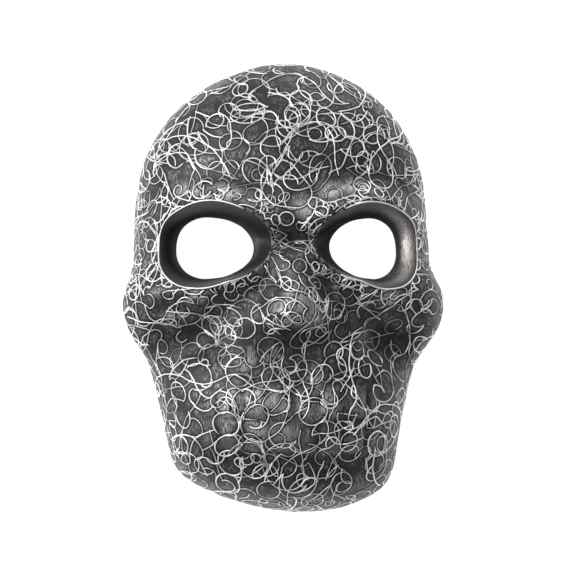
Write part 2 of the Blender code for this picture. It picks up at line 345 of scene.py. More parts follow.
def standing_out(disc_x, disc_y):
    """Metres above the mean of eight near neighbours, plus 0.4 times the same for eight far ones."""
    middle, normal = face(disc_x, disc_y), slopes(disc_x, disc_y)[2]
    total = np.zeros_like(disc_x)
    turns = np.arange(8) * np.pi / 4
    for reach, share in ((0.045, 1.0), (0.13, 0.4)):
        ring = [face(disc_x + reach * math.cos(turn), disc_y + reach * math.sin(turn)) for turn in turns]
        total += share * ((middle - np.mean(ring, 0)) * normal).sum(-1)
    return total


print("forehead normal:", np.round(slopes(np.zeros(1), np.full(1, 0.3))[2][0], 2))

# %% [markdown]
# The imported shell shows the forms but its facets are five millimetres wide, too coarse for paint
# that catches every edge. A finer skin of the same formula takes its place. A square sheet drawn
# round gives even cells everywhere, where a sheet in rings would crowd them at the crown. Where the
# sockets are, the sheet is left out, and a funnel in rings is laid in, because a square grid would
# tear the socket's crisp lip into steps.

# %% Helpers for meshes
def grid_faces(numbers, closed=False):
    """Four-cornered faces between neighbouring rows and columns of a grid of point numbers."""
    after = np.roll(numbers, -1, axis=1) if closed else numbers[:, 1:]
    here = numbers if closed else numbers[:, :-1]
    return np.stack([here[:-1], after[:-1], after[1:], here[1:]], -1).reshape(-1, 4)


def add_piece(name, points, faces, traits):
    """Make a smooth mesh from point and face arrays, with one number per point for each trait."""
    data = bpy.data.meshes.new(name)
    data.vertices.add(len(points))
    data.vertices.foreach_set("co", np.asarray(points, np.float32).ravel())
    data.loops.add(faces.size)
    data.loops.foreach_set("vertex_index", faces.ravel().astype(np.int32))
    data.polygons.add(len(faces))
    data.polygons.foreach_set("loop_start", (np.arange(len(faces)) * faces.shape[1]).astype(np.int32))
    data.polygons.foreach_set("use_smooth", np.ones(len(faces), bool))
    for trait, values in traits.items():
        layer = data.attributes.new(trait, "FLOAT", "POINT")
        layer.data.foreach_set("value", np.asarray(values, np.float32).ravel())
    data.update(calc_edges=True)
    data.validate()
    piece = bpy.data.objects.new(name, data)
    bpy.context.scene.collection.objects.link(piece)
    print(name, "has", len(points), "points and", len(faces), "faces")
    return piece


print("mesh helpers ready")


# %% Lay out the fine sheet
SHEET_ACROSS, SHEET_UP = 236, 312
FUNNEL_EDGE = 1.07


def sheet(across, up):
    """A square sheet drawn round: each side is scaled by the root of 1 less half the other squared."""
    across, up = np.linspace(-1, 1, across + 1), np.linspace(-1, 1, up + 1)
    across = 0.8 * across + 0.2 * across**3
    up = 0.8 * up + 0.2 * up**3
    across, up = np.meshgrid(across, up)
    return across * np.sqrt(1 - up**2 / 2), up * np.sqrt(1 - across**2 / 2)


disc_x, disc_y = sheet(SHEET_ACROSS, SHEET_UP)
skin = face(disc_x, disc_y)
skin_rise = standing_out(disc_x, disc_y)
skin_number = np.arange(disc_x.size).reshape(disc_x.shape)
skin_faces = grid_faces(skin_number)
outside = (socket_share(skin[..., 0], skin[..., 1]) > FUNNEL_EDGE).ravel()
skin_faces = skin_faces[outside[skin_faces].all(1)]
print("rise above the neighbours in mm:", np.round(np.percentile(skin_rise, [1, 50, 99]) * 1000, 2))

# %% [markdown]
# Each eye socket is a smooth bowl with a raised lip and an opening at its bottom. A hole could be
# cut through the sheet with a boolean, but that leaves thin splinters where the paint is worn most.
# So a funnel of rings is laid in instead, from just outside the lip, over it, down the bowl,
# round the opening's edge and back up behind the wall. Its outermost ring lies a little under the
# sheet, so no gap shows.

# %% The sockets as funnels
RING_POINTS = 180
LEVEL_ROUNDS = 4


def surface_level(x, y):
    """Height of the face at x, y seen from the front, found by moving the disc point a few times."""
    near_x, near_y = x, y
    for _ in range(LEVEL_ROUNDS):
        point = face(*disc_of(near_x, near_y))
        near_x, near_y = near_x + x - point[..., 0], near_y + y - point[..., 1]
    return point[..., 2]


def socket_ring(side, outward, grow, lift):
    """A ring on a socket's wall: outward is 0 at the opening and 1 at the lip; grown and lifted."""
    angle = np.arange(RING_POINTS) * 2 * np.pi / RING_POINTS
    opening = round_rows(angle, OPENING_EDGE) * OPENING_WIDTH / 2
    edge = round_rows(angle, SOCKET_EDGE) * SOCKET_WIDTH / 2
    reach = opening + outward * (edge - opening)
    depth = SOCKET_DEPTH * round_rows(angle, OPENING_EDGE, 2) * (1 - min(outward, 1) ** SOCKET_ROUNDNESS)
    reach += grow
    x, y = EYE_SPACING / 2 + reach * np.cos(angle), EYE_LEVEL + reach * np.sin(angle)
    level = surface_level(side * x, y) - depth + lift
    ring = np.stack([side * x, y, level], -1)
    return ring[:: int(side)]


FUNNEL_ROWS = (
    # outward, grow in mm, lift in mm, lip, depth
    (1.00, 4.4, -0.45, 0.0, 0.0),
    (1.00, 3.2, -0.03, 0.0, 0.0),
    (1.00, 2.0, 0.05, 0.1, 0.0),
    (1.00, 1.2, 0.20, 0.3, 0.0),
    (1.00, 0.6, 0.32, 0.5, 0.0),
    (1.00, 0.1, 0.22, 0.4, 0.0),
    (1.00, -0.2, -0.15, 0.2, 0.0),
    (0.96, 0.0, -0.25, 0.0, 0.04),
    (0.88, 0.0, -0.10, 0.0, 0.12),
    (0.76, 0.0, 0.0, 0.0, 0.24),
    (0.62, 0.0, 0.0, 0.0, 0.38),
    (0.48, 0.0, 0.0, 0.0, 0.52),
    (0.34, 0.0, 0.0, 0.0, 0.66),
    (0.20, 0.0, 0.0, 0.0, 0.80),
    (0.08, 0.0, 0.0, 0.0, 0.92),
    (0.03, 0.0, -0.10, 0.0, 1.0),
    (0.00, -0.1, -0.45, 0.1, 1.0),
    (0.00, -0.1, -2.40, 0.0, 1.0),
    (0.00, 0.4, -3.00, 0.0, 1.0),
    (0.00, 2.0, -3.10, 0.0, 1.0),
    (0.00, 3.0, -3.00, 0.0, 1.0),
    (1.00, 1.2, -2.40, 0.0, 1.0),
)


def socket_funnel(side):
    """The lip, the hollow wall, the opening's edge and the wall's back, as rings of points."""
    rings = [socket_ring(side, row[0], row[1] / 1000, row[2] / 1000) for row in FUNNEL_ROWS]
    number = np.arange(len(rings) * RING_POINTS).reshape(len(rings), RING_POINTS)
    return np.array(rings), grid_faces(number, closed=True)


funnels = {side: socket_funnel(side) for side in (1, -1)}
opening_row = [row[0] for row in FUNNEL_ROWS].index(0.0)
print("opening's level in mm:", np.round(funnels[1][0][opening_row][::45, 2] * 1000, 1))

# %% [markdown]
# Inside, the casting follows the face at one wall's distance, but without the teeth, because resin
# that is poured into a mould leaves a plain back. Solidify could give the wall, but it would carry
# every thread and tooth through. The same formula is used again instead, moved back along its
# normal on half as fine a grid, and a flat rim joins the two faces.

# %% The inner face and the rim
def lining_points(disc_x, disc_y):
    """One wall behind the face, plain behind the teeth, level at the rim."""
    normal = slopes(disc_x * 0.996, disc_y * 0.996, 0.004, 0)[2]
    point = face(disc_x, disc_y, 0) - WALL * normal
    point[[0, -1], :, 2] = 0
    point[:, [0, -1], 2] = 0
    return point


def border(numbers):
    """The point numbers once round a grid's edge."""
    return np.concatenate([numbers[0, :-1], numbers[:-1, -1], numbers[-1, :0:-1], numbers[:0:-1, 0]])


half_x, half_y = disc_x[::2, ::2], disc_y[::2, ::2]
lining = lining_points(half_x, half_y)
lining_number = np.arange(half_x.size).reshape(half_x.shape)
lining_faces = grid_faces(lining_number)[:, ::-1]
lining_open = (socket_share(lining[..., 0], lining[..., 1]) > 1.03).ravel()
lining_faces = lining_faces[lining_open[lining_faces].all(1)]
rim_outer = border(skin_number)
rim_inner = np.repeat(border(lining_number), 2)
rim_points = np.concatenate([skin.reshape(-1, 3)[rim_outer], lining.reshape(-1, 3)[rim_inner]])
rim_number = np.arange(len(rim_points)).reshape(2, -1)
rim_faces = grid_faces(rim_number, closed=True)[:, ::-1]
rim_width = float(np.linalg.norm(rim_points[0] - rim_points[len(rim_outer)]))
print("rim width in mm:", round(rim_width * 1000, 2))

# %% [markdown]
# The threads look drawn by hand with a thick, slow line: round loops of all sizes, arcs that cross
# them, and long lines that wander. Copying one loop many times would show a pattern. Instead each
# thread is walked over the surface, one short step after another, and a small rule says how much
# it turns at each step. All threads are walked at once, as arrays, and the surface's own slopes
# turn each step in space into a step on the disc. Threads start at spots that are spread evenly.

# %% Choose where threads start
STEP = 0.0008
DISC_EDGE = 0.985
TRIES = 9000


def closeness(place):
    """How far apart threads lie, as a share: 1 on plain ground and a little more at the crown.

    The largest of three bells is taken off it: round the sockets, on the nose and down the sides.
    """
    share = socket_share(place[:, 0], place[:, 1])
    crowded = 0.38 * np.exp(-(((share - 1.15) / 0.42) ** 2))
    nose_bridge = 0.10 * np.exp(-((place[:, 0] / 0.022) ** 2 + ((place[:, 1] - 0.002) / 0.030) ** 2))
    steep = 0.22 * (1 - ease(place[:, 2], 0.020, 0.055))
    return 1 + 0.12 * ease(place[:, 1], 0.040, 0.080) - np.max([crowded, nose_bridge, steep], 0)


def even_spread(count):
    """Points of the disc spread evenly over the face: each new one is the farthest from the rest."""
    point = dice.uniform(-1, 1, (TRIES * 2, 2))
    point = point[np.hypot(*point.T) < DISC_EDGE]
    along_x, along_y, _ = slopes(*point.T)
    area = np.linalg.norm(np.cross(along_x, along_y), axis=-1)
    point = point[dice.random(len(point)) < area / area.max()]
    place = face(*point.T)
    apart = closeness(place)
    near = np.full(len(point), np.inf)
    chosen = []
    for _ in range(min(count, len(point))):
        pick = int(np.argmax(near))
        chosen.append(pick)
        near = np.minimum(near, np.linalg.norm(place - place[pick], axis=1) / apart)
    return point[chosen]


def random_walk(count, steps, spread, memory):
    """Noise that drifts: each step keeps a share of the last and adds a little of its own."""
    drift = np.zeros((steps, count))
    drift[0] = dice.normal(0, spread, count)
    keep = math.exp(-STEP / memory)
    for step in range(1, steps):
        drift[step] = keep * drift[step - 1] + spread * math.sqrt(1 - keep**2) * dice.normal(0, 1, count)
    return drift


def kinks(count, steps, every=0.011, sharpness=0.30):
    """Small sudden corners, one every centimetre or so, as a slow hand leaves them."""
    return (dice.random((steps, count)) < STEP / every) * dice.normal(0, sharpness, (steps, count)) / STEP


print("one step in mm:", STEP * 1000)


# %% Rules for how threads turn
def loop_turns(start, smallest, largest):
    """Loops round their starts: straight out by the radius, a right angle, then about one turn."""
    count = len(start)
    radius = dice.uniform(smallest, largest, count) * closeness(face(*start.T))
    steps = int((2 * np.pi * 1.2 + 1) * largest * 1.25 / STEP)
    way = np.arange(steps)[:, None] * STEP
    oval = 1 + dice.uniform(0.05, 0.45, count) * np.cos(2 * way / radius + dice.uniform(0, 6.28, count))
    turning = oval / radius + random_walk(count, steps, 14, 0.005) + kinks(count, steps, 0.030)
    turning = np.where(way < radius, 0, turning)
    turning[(radius / STEP).astype(int), np.arange(count)] = np.pi / 2 / STEP
    turning = turning * dice.choice([-1, 1], count)
    length = 2 * np.pi * radius * dice.uniform(0.62, 1.12, count)
    return start, turning, radius + 2 * STEP, length


def wander_turns(start, shortest, longest, curl):
    """Wandering lines: turning drifts slowly between left and right."""
    count, steps = len(start), int(longest / STEP)
    turning = random_walk(count, steps, curl, 0.016) + random_walk(count, steps, 22, 0.003)
    return start, turning + kinks(count, steps), np.zeros(count), dice.uniform(shortest, longest, count)


print("turning rules ready")


# %% Walk the threads over the face
def walk(start, turning, first, length):
    """From each start, step along a heading that turns about the normal by turning times the step.

    The slopes without teeth turn a step in space into a step on the disc, so no thread is caught in
    a groove between two teeth, and the points themselves lie on the face with its teeth.
    """
    count = len(start)
    disc = start.copy()
    along_x, along_y, normal = slopes(*disc.T, tooth_share=0)
    turn = dice.uniform(0, 2 * np.pi, count)[:, None]
    east = along_x / np.linalg.norm(along_x, axis=1, keepdims=True)
    heading = np.cos(turn) * east + np.sin(turn) * np.cross(normal, east)
    trail, places = [], []
    for step in range(len(turning)):
        along_x, along_y, normal = slopes(*disc.T, tooth_share=0)
        places.append(disc.copy())
        trail.append(face(*disc.T))
        bend = (turning[step] * STEP)[:, None]
        heading = heading * np.cos(bend) + np.cross(normal, heading) * np.sin(bend)
        heading -= (heading * normal).sum(1, keepdims=True) * normal
        heading /= np.linalg.norm(heading, axis=1, keepdims=True)
        xx, xy, yy = (along_x**2).sum(1), (along_x * along_y).sum(1), (along_y**2).sum(1)
        hx, hy = (heading * along_x).sum(1), (heading * along_y).sum(1)
        area = np.maximum(xx * yy - xy**2, 1e-9)
        move = np.stack([yy * hx - xy * hy, xx * hy - xy * hx], 1) / area[:, None] * STEP
        disc = disc + move
    way = np.arange(len(turning))[:, None] * STEP
    alive = (way >= first) & (way < first + length)
    return np.array(trail), np.array(places), alive


loops = walk(*loop_turns(even_spread(800), 0.0046, 0.0085))
long_lines = walk(*wander_turns(even_spread(420), 0.045, 0.110, 62))
short_loops = walk(*loop_turns(even_spread(800), 0.0030, 0.0054))
short_lines = walk(*wander_turns(even_spread(1500), 0.014, 0.040, 50))
print("threads walked:", sum(part[0].shape[1] for part in (loops, long_lines, short_loops, short_lines)))


# %% Loops crowded round the sockets
def socket_starts(count, share):
    """Starts spaced round each socket but not at its inner corner, a set share beyond its edge."""
    angle = (np.arange(count) + dice.uniform(-0.25, 0.25, count)) * 2 * np.pi / count
    angle = angle[np.abs(np.degrees(angle) - 185) > 24]
    reach = round_rows(angle, SOCKET_EDGE) * SOCKET_WIDTH / 2 * share
    x, y = EYE_SPACING / 2 + reach * np.cos(angle), EYE_LEVEL + reach * np.sin(angle)
    both = np.stack([np.concatenate([x, -x]), np.concatenate([y, y])], 1)
    return np.stack(disc_of(*both.T), 1)


near_row = walk(*loop_turns(socket_starts(23, 1.19), 0.0036, 0.0056))
next_row = walk(*loop_turns(socket_starts(23, 1.40), 0.0040, 0.0066))
print("socket loops:", near_row[0].shape[1] + next_row[0].shape[1])


# %% Cut the threads at the sockets and the rim
SOCKET_GAP = 1.02
RIM_GAP = 0.0015
SHORTEST_RUN = 5


def runs_of(trail, places, alive):
    """Each unbroken run of points outside the sockets and above the rim, as slices of a walk."""
    good = alive & (socket_share(trail[..., 0], trail[..., 1]) > SOCKET_GAP)
    good &= (trail[..., 2] > RIM_GAP) & (np.hypot(places[..., 0], places[..., 1]) < 1)
    runs = []
    for thread in range(trail.shape[1]):
        ends = np.flatnonzero(np.diff(np.concatenate([[0], good[:, thread], [0]])))
        for first, last in ends.reshape(-1, 2):
            if last - first > SHORTEST_RUN:
                runs.append((trail[first:last, thread], places[first:last, thread]))
    return runs


print("shortest run in mm:", round((SHORTEST_RUN + 1) * STEP * 1000, 1))

# %% [markdown]
# Random threads heap up in some places and leave others bare, while a hand that draws them looks
# for the emptiest spot each time. The same can be done by numbers: more threads are walked than
# are needed, the face is shared out among three thousand small cells, and each time the thread
# that crosses the emptiest cells is laid. The loops round the sockets come first, then the
# other loops, then the long lines, and the small ones fill what is left.

# %% Lay them evenly
CELL_COUNT = 3000
NO_LIMIT, LOOP_LIMIT, LINE_LIMIT, FILL_LIMIT = 1e5, 7.0, 9.5, 15.0
cell_middles = face(*even_spread(CELL_COUNT).T)
CELL_TREE = KDTree(CELL_COUNT)
for number, middle in enumerate(cell_middles):
    CELL_TREE.insert(middle, number)
CELL_TREE.balance()
crowd = np.zeros(CELL_COUNT + 1)


def laid_evenly(candidates, limit):
    """Runs taken one by one: always the one through the emptiest cells, until those hold the limit."""
    sizes = np.array([len(run[0]) for run in candidates])
    cells = np.full((len(candidates), sizes.max()), CELL_COUNT)
    for row, run in zip(cells, candidates):
        row[: len(run[0])] = [CELL_TREE.find(point)[1] for point in run[0]]
    kept, taken = [], np.zeros(len(candidates))
    while len(kept) < len(candidates):
        load = crowd[cells].sum(1) / sizes + taken
        pick = int(np.argmin(load))
        if load[pick] > limit:
            break
        kept.append(candidates[pick])
        taken[pick] = 1e6
        np.add.at(crowd, cells[pick, : sizes[pick]], 1)
    print("laid", len(kept), "of", len(candidates), "steps in a cell:", np.percentile(crowd, [10, 50, 90]))
    return kept


threads = laid_evenly(runs_of(*near_row) + runs_of(*next_row), NO_LIMIT)
threads += laid_evenly(runs_of(*loops), LOOP_LIMIT)
threads += laid_evenly(runs_of(*long_lines), LINE_LIMIT)
threads += laid_evenly(runs_of(*short_loops) + runs_of(*short_lines), FILL_LIMIT)

# %% [markdown]
# On the real mask hardly a thread ends in the open: it ends where it runs into another, and the
# net closes. Ends could be stretched until they meet something, but cutting them back to their
# last meeting is simpler. One thread in eight stays loose, because a hand isn't that strict, and
# so does one that meets too little to be cut. Then each socket gets its own line round the lip.

# %% Tie the net together
MEETING_CELL = 0.0011
LOOSE_SHARE = 0.12
FEWEST_STEPS = 8


def meetings(runs):
    """True at each point whose small cube of space holds another run too, or at a socket or the rim."""
    owner = np.repeat(np.arange(len(runs)), [len(run[0]) for run in runs])
    cube = np.floor(np.concatenate([run[0] for run in runs]) / MEETING_CELL).astype(int)
    _, cube = np.unique(cube, axis=0, return_inverse=True)
    lowest, highest = np.full(cube.max() + 1, len(runs)), np.full(cube.max() + 1, -1)
    np.minimum.at(lowest, cube.ravel(), owner)
    np.maximum.at(highest, cube.ravel(), owner)
    where = np.concatenate([run[0] for run in runs])
    at_edge = (socket_share(where[:, 0], where[:, 1]) < 1.05) | (where[:, 2] < 0.003)
    return (lowest != highest)[cube.ravel()] | at_edge


def tied(runs):
    """Each run cut back to its first and last meeting with another, so that the net's cells close."""
    ends = np.cumsum([len(run[0]) for run in runs])
    kept = []
    for run, meets in zip(runs, np.split(meetings(runs), ends[:-1])):
        hits = np.flatnonzero(meets)
        if dice.random() < LOOSE_SHARE or not len(hits) or hits[-1] - hits[0] < FEWEST_STEPS:
            kept.append(run)
        else:
            kept.append([part[max(hits[0] - 1, 0) : hits[-1] + 2] for part in run])
    return kept


def socket_line(side):
    """The thread round a socket's edge, a little outside it, that leaves out the inner corner."""
    angle = np.arange(RING_POINTS) * 2 * np.pi / RING_POINTS
    ring = socket_ring(side, 1, 0.0006, 0.0003)[:: int(side)]
    ring[:, :2] += 0.00025 * np.sin(3 * angle + side)[:, None]
    ring = np.roll(ring, RING_POINTS // 2, axis=0)[20:-26]
    return [ring, np.stack(disc_of(ring[:, 0], ring[:, 1]), 1)]


threads = tied(threads)
threads += [socket_line(1), socket_line(-1)]
thread_length = sum(len(run[0]) for run in threads) * STEP
print("threads kept:", len(threads), "with", round(thread_length, 1), "m in all")

# %% [markdown]
# A thread is a low round bead stuck to the face: about 0.8 millimetres wide, half sunk, and thicker
# where it meets another. A curve with a bevel could draw it, but it would waste half its faces
# inside the shell. So a five-cornered section, flat under the surface, is carried along all the
# threads at once. Each corner carries a number that says how near the bead's crest it is, for the
# paint to read.

# %% Give the threads a body
THREAD_RADIUS = 0.00044
SECTION = (
    # across, up, crest
    (-1.05, -0.35, 0.0),
    (-0.72, 0.62, 0.65),
    (0.00, 1.05, 1.0),
    (0.72, 0.62, 0.65),
    (1.05, -0.35, 0.0),
)


def thread_bodies(runs):
    """The section carried along every run at once: across is heading x normal, up is the normal."""
    where = np.concatenate([run[0] for run in runs])
    place = np.concatenate([run[1] for run in runs])
    normal = slopes(*place.T, step=0.005)[2]
    sizes = np.array([len(run[0]) for run in runs])
    last = np.cumsum(sizes) - 1
    first = last - sizes + 1
    index = np.arange(len(where))
    start, end = np.repeat(first, sizes), np.repeat(last, sizes)
    ahead, behind = np.minimum(index + 1, end), np.maximum(index - 1, start)
    heading = where[ahead] - where[behind]
    heading /= np.linalg.norm(heading, axis=1, keepdims=True)
    across = np.cross(heading, normal)
    from_end = np.minimum(index - start, end - index)
    thickness = dice.uniform(0.66, 1.12, len(runs))
    tone = np.repeat(np.clip((thickness - 0.7) / 0.3, 0, 1), sizes)
    swell = 1 + 0.16 * np.sin(index * STEP / 0.0031) * np.cos(index * STEP / 0.0073)
    swell *= np.repeat(thickness, sizes)
    blob = np.convolve(meetings(runs), [0.25, 0.5, 0.25], "same")
    swell *= 1 + 0.25 * blob
    radius = THREAD_RADIUS * swell * np.interp(from_end, [0, 1, 2, 3], [0, 0.62, 0.88, 1])
    corner = np.array(SECTION)
    ring = where[:, None] + radius[:, None, None] * (
        corner[:, 0, None] * across[:, None] + corner[:, 1, None] * normal[:, None]
    )
    number = np.arange(len(where) * len(corner)).reshape(-1, len(corner))
    joined = np.flatnonzero(index != end)
    here, after = number[joined], number[joined + 1]
    faces = np.stack([here, np.roll(here, -1, 1), np.roll(after, -1, 1), after], -1).reshape(-1, 4)
    rise = standing_out(*place.T)
    traits = {
        "crest": np.tile(corner[:, 2], len(where)),
        "rise": np.repeat(rise * 1000, len(corner)),
        "tone": np.repeat(np.clip(tone * 0.7 + 0.45 * blob, 0, 1), len(corner)),
    }
    return ring.reshape(-1, 3), faces, traits, where


THREAD_PIECES = 4
bodies = [thread_bodies(threads[number::THREAD_PIECES]) for number in range(THREAD_PIECES)]
print("faces on the threads:", [len(body[1]) for body in bodies])

# %% [markdown]
# The paint needs to know how far it is from a thread, since a brush can't reach into the corner
# beside one, and the near-black right beside a thread is partly painted shade. A tree of all the
# threads' points answers that quickly for each point of the face, and the answers are stored with
# the mesh, so that the finish stays where it belongs.

# %% How near each point of the face is to a thread
THREAD_TREE = KDTree(sum(len(body[3]) for body in bodies))
for number, point in enumerate(np.concatenate([body[3] for body in bodies])):
    THREAD_TREE.insert(point, number)
THREAD_TREE.balance()


def to_thread(points):
    """Distance from each point to the nearest thread's middle."""
    return np.array([THREAD_TREE.find(point)[2] for point in points.reshape(-1, 3)])


skin_near = to_thread(skin)
print("median distance to a thread in mm:", round(float(np.median(skin_near)) * 1000, 2))

# %% [markdown]
# Here and there the dark paint is rubbed through to warm silver: on the brows, the rims under the
# eyes, the front teeth, and most of all on one socket's outer wall, where the silver is partly wear
# and partly a painted highlight of the lamp on the left. Such spots could be painted by hand. A
# short table of soft spots does the same, and each is easy to move.

# %% Where hands have rubbed
funnel_rows = np.array(FUNNEL_ROWS)
WORN_SPOTS = (
    # x, y, half width, half height, strength
    (-0.0580, 0.0535, 0.0060, 0.0040, 1.0),
    (-0.0395, 0.0525, 0.0070, 0.0040, 1.0),
    (-0.0165, 0.0440, 0.0050, 0.0050, 0.8),
    (0.0055, 0.0440, 0.0050, 0.0050, 0.8),
    (0.0205, 0.0545, 0.0060, 0.0040, 0.9),
    (0.0370, 0.0570, 0.0070, 0.0040, 0.8),
    (-0.0115, 0.0275, 0.0040, 0.0040, 0.8),
    (-0.0670, -0.0170, 0.0050, 0.0040, 0.8),
    (-0.0550, -0.0060, 0.0040, 0.0035, 0.9),
    (0.0580, -0.0065, 0.0050, 0.0040, 0.9),
    (0.0250, 0.0000, 0.0022, 0.0060, 0.9),
    (0.0115, -0.0515, 0.0040, 0.0060, 0.8),
    (-0.0270, -0.0420, 0.0040, 0.0050, 0.6),
    (-0.0115, -0.0385, 0.0040, 0.0060, 0.7),
    (-0.0350, -0.0655, 0.0060, 0.0070, 1.0),
    (-0.0190, -0.0640, 0.0060, 0.0080, 1.0),
    (-0.0060, -0.0670, 0.0040, 0.0060, 0.6),
    (0.0060, -0.0680, 0.0045, 0.0060, 0.6),
    (0.0190, -0.0665, 0.0055, 0.0060, 0.9),
    (-0.0195, -0.0820, 0.0055, 0.0055, 0.7),
    (-0.0040, -0.0830, 0.0050, 0.0060, 0.6),
)


def worn_at(x, y):
    """Silver that hands have left on the paint: the sum of soft spots, each strength times exp(-(distance
    ** 2)).
    """
    return sum(
        strength * np.exp(-(((x - across) / half_width) ** 2) - ((y - up) / half_height) ** 2)
        for across, up, half_width, half_height, strength in WORN_SPOTS
    )


def funnel_wear_and_highlight(side):
    """Silver on the lip, and on the right socket's outer wall: partly wear, partly a painted highlight."""
    angle = np.arange(RING_POINTS) * 2 * np.pi / RING_POINTS
    angle = np.minimum(angle, 2 * np.pi - angle)[:: int(side)]
    # Painted highlight, partly wear too: silver on the right socket's outer wall, which faces the lamp on
    # the left.
    wall_wear_and_highlight = np.exp(-((angle / 0.85) ** 2)) * (side > 0)
    halfway = np.exp(-(((funnel_rows[:, 0] - 0.62) / 0.24) ** 2)) * (funnel_rows[:, 2] > -0.3)
    return 0.6 * funnel_rows[:, 3, None] + 1.1 * halfway[:, None] * wall_wear_and_highlight


print("worn spots:", len(WORN_SPOTS))


# %% Join the shell's surfaces
DEEP_INSIDE = 3


def shell_surfaces():
    """Skin, two funnels, lining and rim: points, faces, mm to a thread, rise, socket, wear and painted
    light, finish.
    """
    wear_and_painted_light = worn_at(skin[..., 0], skin[..., 1]).ravel()
    yield skin.reshape(-1, 3), skin_faces, skin_near * 1000, skin_rise.ravel() * 1000, 0, wear_and_painted_light, 0
    for side, (rings, faces) in funnels.items():
        socket = np.repeat(funnel_rows[:, 4] * 0.5 + 0.5 * (funnel_rows[:, 1] < 0.15), RING_POINTS)
        spots = worn_at(rings[..., 0], rings[..., 1]) * (socket.reshape(rings.shape[:2]) < 0.1)
        wear_and_painted_light = np.maximum(funnel_wear_and_highlight(side), spots)
        yield rings.reshape(-1, 3), faces, to_thread(rings) * 1000, 0, socket, wear_and_painted_light.ravel(), 0
    yield lining.reshape(-1, 3), lining_faces, DEEP_INSIDE, 0, 0, 0, 1
    yield rim_points, rim_faces, DEEP_INSIDE, 0, 0, 0, 1


points, faces, finish_number = [], [], []
shell_traits = {"near": [], "rise": [], "socket": [], "wear_and_painted_light": []}
for place, corners, *numbers, finish in shell_surfaces():
    faces.append(corners + sum(len(part) for part in points))
    points.append(place)
    for values, number in zip(shell_traits.values(), numbers):
        values.append(np.broadcast_to(number, len(place)))
    finish_number.append(np.full(len(corners), finish, np.int32))
shell_traits = {name: np.concatenate(values) for name, values in shell_traits.items()}
shell = add_piece("mask_shell", np.concatenate(points), np.concatenate(faces), shell_traits)
shell.data.polygons.foreach_set("material_index", np.concatenate(finish_number))
pieces = [shell]
for number, body in enumerate(bodies):
    pieces.append(add_piece(f"mask_threads_{number}", body[0], body[1], body[2]))

# %% [markdown]
# Two paints cover the front, and a plain one the inside. A photograph could be laid over the mask,
# but it would carry its own light and blur up close. Noise and the numbers stored with the points
# are used instead, so that wear sits where a hand would leave it, from every side. First come a few
# helpers, each for one kind of node.

# %% Helpers for finishes
def new_finish(name):
    """A material with its Principled shader, and the Object coordinates that patterns read."""
    material = bpy.data.materials.new(name)
    material.use_nodes = True
    tree = material.node_tree
    coordinates = tree.nodes.new("ShaderNodeTexCoord")
    return material, tree, tree.nodes["Principled BSDF"], coordinates.outputs["Object"]


def plug(tree, socket, value):
    """Link a socket, or set it when the value is a number or a colour."""
    if isinstance(value, bpy.types.NodeSocket):
        tree.links.new(value, socket)
    else:
        socket.default_value = value


def trait(tree, name):
    """One of the numbers stored with the mesh's points."""
    node = tree.nodes.new("ShaderNodeAttribute")
    node.attribute_name = name
    return node.outputs["Fac"]


def noise(tree, where, scale, detail=3.0, roughness=0.55):
    """Cloudy noise from 0 to 1, with a scale in patches a metre."""
    node = tree.nodes.new("ShaderNodeTexNoise")
    tree.links.new(where, node.inputs["Vector"])
    node.inputs["Scale"].default_value = scale
    node.inputs["Detail"].default_value = detail
    node.inputs["Roughness"].default_value = roughness
    return node.outputs["Fac"]


def stretched(tree, where, scale):
    """Coordinates squeezed or stretched along each axis."""
    node = tree.nodes.new("ShaderNodeMapping")
    tree.links.new(where, node.inputs["Vector"])
    node.inputs["Scale"].default_value = scale
    return node.outputs["Vector"]


def ramp(tree, value, low, high, start=0.0, end=1.0):
    """A number carried smoothly from low..high to start..end."""
    node = tree.nodes.new("ShaderNodeMapRange")
    node.interpolation_type = "SMOOTHSTEP"
    for socket, number in zip(node.inputs, (value, low, high, start, end)):
        plug(tree, socket, number)
    return node.outputs["Result"]


def maths(tree, operation, first, second):
    """One sum, product or power of two numbers, kept between 0 and 1."""
    node = tree.nodes.new("ShaderNodeMath")
    node.operation = operation
    node.use_clamp = True
    plug(tree, node.inputs[0], first)
    plug(tree, node.inputs[1], second)
    return node.outputs["Value"]


def blend_colour(tree, share, first, second):
    """From the first colour to the second, by a share from 0 to 1."""
    node = tree.nodes.new("ShaderNodeMix")
    node.data_type = "RGBA"
    for index, value in ((0, share), (6, first), (7, second)):
        plug(tree, node.inputs[index], value)
    return node.outputs[2]


def grain(tree, height, strength, distance):
    """A bump from a height, for the shader's normal."""
    node = tree.nodes.new("ShaderNodeBump")
    node.inputs["Strength"].default_value = strength
    node.inputs["Distance"].default_value = distance
    tree.links.new(height, node.inputs["Height"])
    return node.outputs["Normal"]


print("finish helpers ready")

# %% [markdown]
# The ground is nearly black and a little metallic, with silver dragged over it by a dry brush: some
# in the middle of each mesh of the net, more on the forms that stand out, none beside a thread,
# where the bristles can't reach. Stretched noise gives the brush's streaks. Right beside each
# thread and down in the hollows the colour goes near black: partly a dark wash, as thin paint runs
# there, and partly painted shade. The silver on one socket's outer wall is partly a painted highlight.

# %% The ground paint
NEAR_BLACK = (0.010, 0.010, 0.011, 1)
GUNMETAL = (0.028, 0.028, 0.032, 1)
BRUSHED = (0.33, 0.33, 0.335, 1)
RUBBED_SILVER_AND_HIGHLIGHT = (0.74, 0.70, 0.67, 1)

